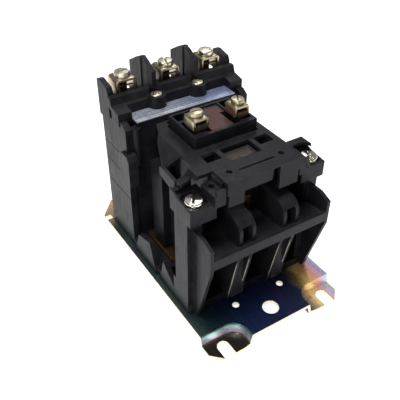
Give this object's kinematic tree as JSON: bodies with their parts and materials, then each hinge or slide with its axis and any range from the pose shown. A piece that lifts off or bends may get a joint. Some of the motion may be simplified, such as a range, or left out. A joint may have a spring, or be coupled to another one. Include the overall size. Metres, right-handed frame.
{
  "type": "magnetic contactor",
  "caption": "Open-type magnetic contactor on a slotted steel plate: a sprung armature lifts a carrier that closes the bridging contacts, with saddle-clamp terminals.",
  "frame": {"origin": "centre of the overall box at the mounting plane, under the pressed-down feet", "axes": "+Z away from the mounting plane towards the terminal screws, +Y towards the line terminals, +X across the poles; all but the coil cover is mirror-symmetric about X = 0"},
  "size_m": [0.09, 0.16, 0.1184],
  "materials": {
    "zinc_plate": "yellow-blue iridescent zinc chromate",
    "plated_steel": "bright zinc plate",
    "clamp_steel": "pale passivated plate",
    "spring_steel": "plain",
    "laminated_steel": "stacked laminations",
    "black_moulding": "satin phenolic",
    "brown_moulding": "satin phenolic",
    "bobbin_plastic": "plain nylon",
    "coil_plate": "faded red print on black",
    "printed_foil": "printed foil",
    "brass_screws": "bright",
    "copper": "copper",
    "silver_tips": "silver alloy"
  },
  "bodies": {
    "root": {"base_plate": "zinc_plate", "plate_screws": "plated_steel", "base_housing": "black_moulding", "line_terminal_block": "black_moulding", "arc_cover": "black_moulding", "arc_cover_screws": "plated_steel", "label_plate": "printed_foil", "side_latches": "black_moulding", "coil_cover": "black_moulding", "coil_cover_screws": "brass_screws", "coil_cover_washers": "plated_steel", "thread_inserts": "brass_screws", "fixed_contact_tips": "silver_tips", "return_springs": "spring_steel", "fixed_core": "laminated_steel", "shading_rings": "copper", "core_spring_clip": "spring_steel", "coil_bobbin": "bobbin_plastic", "coil_winding": "copper", "coil_shell": "black_moulding", "coil_name_plate": "coil_plate", "line_contact_left": "copper", "load_contact_left": "copper", "line_contact_centre": "copper", "load_contact_centre": "copper", "line_contact_right": "copper", "load_contact_right": "copper", "coil_terminal_left": "plated_steel", "coil_terminal_right": "plated_steel"},
    "carrier": {"contact_carrier": "brown_moulding", "armature_core": "laminated_steel", "armature_pin": "plated_steel", "contact_spring_left": "spring_steel", "contact_spring_centre": "spring_steel", "contact_spring_right": "spring_steel"},
    "bridge_left": {"contact_bridge_left": "copper", "bridge_tips_left": "silver_tips"},
    "line_clamp_left": {"line_clamp_left": "clamp_steel"},
    "line_screw_left": {"line_screw_left": "plated_steel"},
    "bridge_centre": {"contact_bridge_centre": "copper", "bridge_tips_centre": "silver_tips"},
    "line_clamp_centre": {"line_clamp_centre": "clamp_steel"},
    "line_screw_centre": {"line_screw_centre": "plated_steel"},
    "bridge_right": {"contact_bridge_right": "copper", "bridge_tips_right": "silver_tips"},
    "line_clamp_right": {"line_clamp_right": "clamp_steel"},
    "line_screw_right": {"line_screw_right": "plated_steel"},
    "coil_clamp_left": {"coil_clamp_left": "clamp_steel"},
    "coil_screw_left": {"coil_screw_left": "plated_steel"},
    "coil_clamp_right": {"coil_clamp_right": "clamp_steel"},
    "coil_screw_right": {"coil_screw_right": "plated_steel"}
  },
  "joints": [
    {"name": "armature_slide", "type": "slide", "parent": "root", "child": "carrier", "axis": [0, 0, 1], "range_m": [0, 0.0057], "stiffness_N_per_m": 300, "springref_m": -0.008, "deforming": ["return_springs"]},
    {"name": "bridge_left_slide", "type": "slide", "parent": "carrier", "child": "bridge_left", "axis": [0, 0, 1], "range_m": [-0.00151, 0], "deforming": ["contact_spring_left"]},
    {"name": "line_clamp_left_slide", "type": "slide", "parent": "root", "child": "line_clamp_left", "axis": [0, 0, 1], "range_m": [-0.005, 0]},
    {"name": "line_screw_left_turn", "type": "hinge", "parent": "line_clamp_left", "child": "line_screw_left", "pos_m": [-0.028, 0.0448, 0.1105], "axis": [0, 0, 1], "range_deg": [-1801, 0]},
    {"name": "bridge_centre_slide", "type": "slide", "parent": "carrier", "child": "bridge_centre", "axis": [0, 0, 1], "range_m": [-0.00151, 0], "deforming": ["contact_spring_centre"]},
    {"name": "line_clamp_centre_slide", "type": "slide", "parent": "root", "child": "line_clamp_centre", "axis": [0, 0, 1], "range_m": [-0.005, 0]},
    {"name": "line_screw_centre_turn", "type": "hinge", "parent": "line_clamp_centre", "child": "line_screw_centre", "pos_m": [0, 0.0448, 0.1105], "axis": [0, 0, 1], "range_deg": [-1801, 0]},
    {"name": "bridge_right_slide", "type": "slide", "parent": "carrier", "child": "bridge_right", "axis": [0, 0, 1], "range_m": [-0.00151, 0], "deforming": ["contact_spring_right"]},
    {"name": "line_clamp_right_slide", "type": "slide", "parent": "root", "child": "line_clamp_right", "axis": [0, 0, 1], "range_m": [-0.005, 0]},
    {"name": "line_screw_right_turn", "type": "hinge", "parent": "line_clamp_right", "child": "line_screw_right", "pos_m": [0.028, 0.0448, 0.1105], "axis": [0, 0, 1], "range_deg": [-1801, 0]},
    {"name": "coil_clamp_left_slide", "type": "slide", "parent": "root", "child": "coil_clamp_left", "axis": [0, 0, 1], "range_m": [-0.0012, 0.0024]},
    {"name": "coil_screw_left_turn", "type": "hinge", "parent": "coil_clamp_left", "child": "coil_screw_left", "pos_m": [-0.0129, -0.0102, 0.1068], "axis": [0, 0, 1], "range_deg": [-618, 1235]},
    {"name": "coil_clamp_right_slide", "type": "slide", "parent": "root", "child": "coil_clamp_right", "axis": [0, 0, 1], "range_m": [-0.0012, 0.0024]},
    {"name": "coil_screw_right_turn", "type": "hinge", "parent": "coil_clamp_right", "child": "coil_screw_right", "pos_m": [0.0129, -0.0102, 0.1068], "axis": [0, 0, 1], "range_deg": [-618, 1235]}
  ],
  "couplings": [
    {"joint": "bridge_left_slide", "follows": "armature_slide", "ratio": -0.26316},
    {"joint": "line_screw_left_turn", "follows": "line_clamp_left_slide", "rad_per_m": 6283.2},
    {"joint": "bridge_centre_slide", "follows": "armature_slide", "ratio": -0.26316},
    {"joint": "line_screw_centre_turn", "follows": "line_clamp_centre_slide", "rad_per_m": 6283.2},
    {"joint": "bridge_right_slide", "follows": "armature_slide", "ratio": -0.26316},
    {"joint": "line_screw_right_turn", "follows": "line_clamp_right_slide", "rad_per_m": 6283.2},
    {"joint": "coil_screw_left_turn", "follows": "coil_clamp_left_slide", "rad_per_m": 8976},
    {"joint": "coil_screw_right_turn", "follows": "coil_clamp_right_slide", "rad_per_m": 8976}
  ]
}
